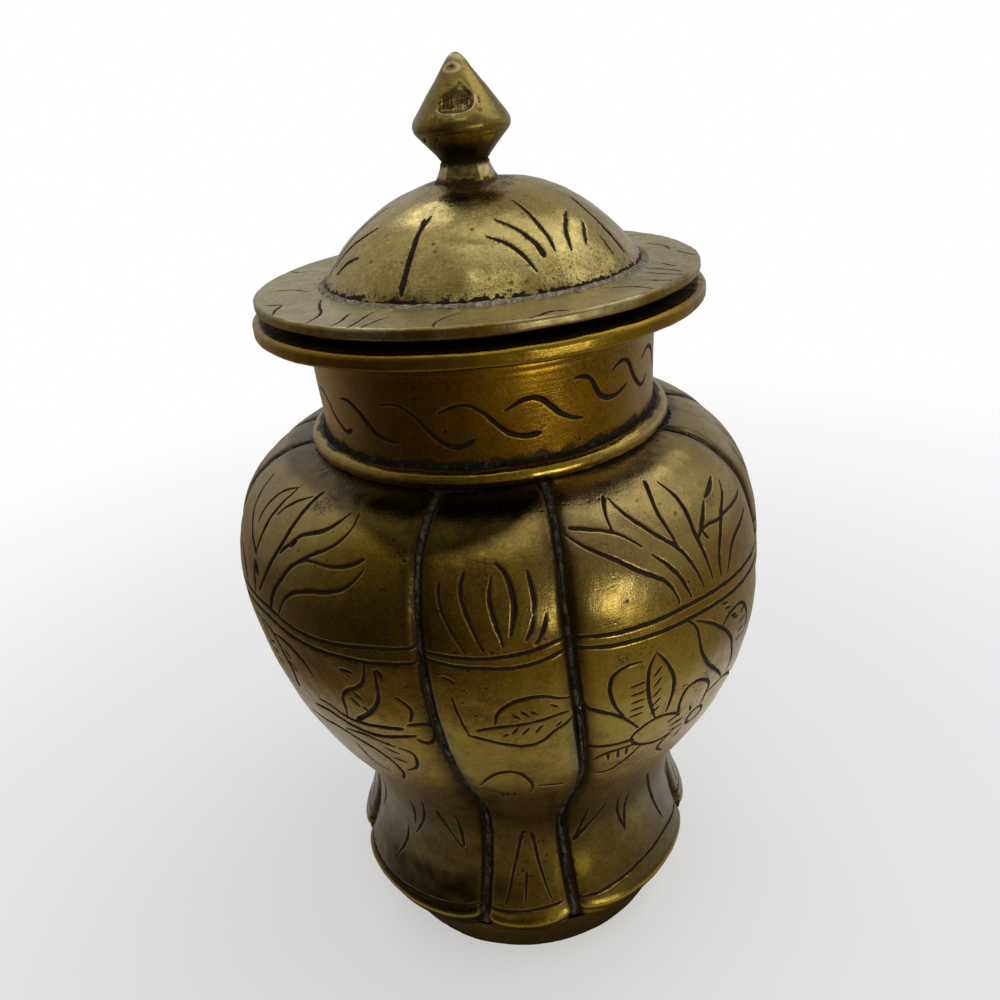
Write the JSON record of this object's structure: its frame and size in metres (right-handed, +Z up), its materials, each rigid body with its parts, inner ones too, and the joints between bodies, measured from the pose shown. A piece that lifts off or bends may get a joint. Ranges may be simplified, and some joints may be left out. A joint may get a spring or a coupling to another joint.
{
  "type": "brass lidded jar",
  "caption": "Lobed brass jar with a flared foot, a waisted base, a round neck and a domed, pointed lid that lifts off.",
  "frame": {"origin": "middle of the face that the jar stands on", "axes": "+Z up along the jar's axis; -Y is the narrow front panel, +X is to the right"},
  "size_m": [0.13, 0.13, 0.219],
  "materials": {
    "panel_brass": "aged and hand engraved, with dark grooves and rubbed high spots",
    "neck_brass": "aged, with fine turning lines",
    "base_brass": "aged and pitted",
    "lid_brass": "aged, dull olive",
    "dome_brass": "aged and pitted",
    "finial_brass": "aged, with rubbed edges",
    "seam_solder": "dark dirt-filled solder",
    "grey_solder": "dull blue-grey solder",
    "pale_solder": "pale oxidised solder"
  },
  "bodies": {
    "jar": {"panel_front": "panel_brass", "panel_right": "panel_brass", "panel_back": "panel_brass", "panel_left": "panel_brass", "panel_front_right": "panel_brass", "panel_right_back": "panel_brass", "panel_back_left": "panel_brass", "panel_left_front": "panel_brass", "seam_solder_front_right_1": "seam_solder", "seam_solder_front_right_2": "seam_solder", "seam_solder_right_back_1": "seam_solder", "seam_solder_right_back_2": "seam_solder", "seam_solder_back_left_1": "seam_solder", "seam_solder_back_left_2": "seam_solder", "seam_solder_left_front_1": "seam_solder", "seam_solder_left_front_2": "seam_solder", "base_ring": "base_brass", "base_plate": "base_brass", "base_solder": "grey_solder", "neck_tube": "neck_brass", "neck_bead": "neck_brass", "bead_solder_upper": "grey_solder", "bead_solder_lower": "grey_solder", "mouth_flange": "neck_brass", "mouth_solder": "grey_solder"},
    "lid_seat": {"lid_seat_ring": "lid_brass"},
    "lid": {"lid_flange": "lid_brass", "lid_collar": "lid_brass", "collar_solder": "grey_solder", "lid_dome": "dome_brass", "dome_solder": "pale_solder", "finial": "finial_brass", "finial_washer": "lid_brass"}
  },
  "joints": [
    {"name": "lid_lift", "type": "slide", "parent": "jar", "child": "lid_seat", "axis": [0, 0, 1], "range_m": [0, 0.08]},
    {"name": "lid_turn", "type": "hinge", "parent": "lid_seat", "child": "lid", "pos_m": [0, 0, 0.1722], "axis": [0, 0, 1], "continuous": true}
  ]
}
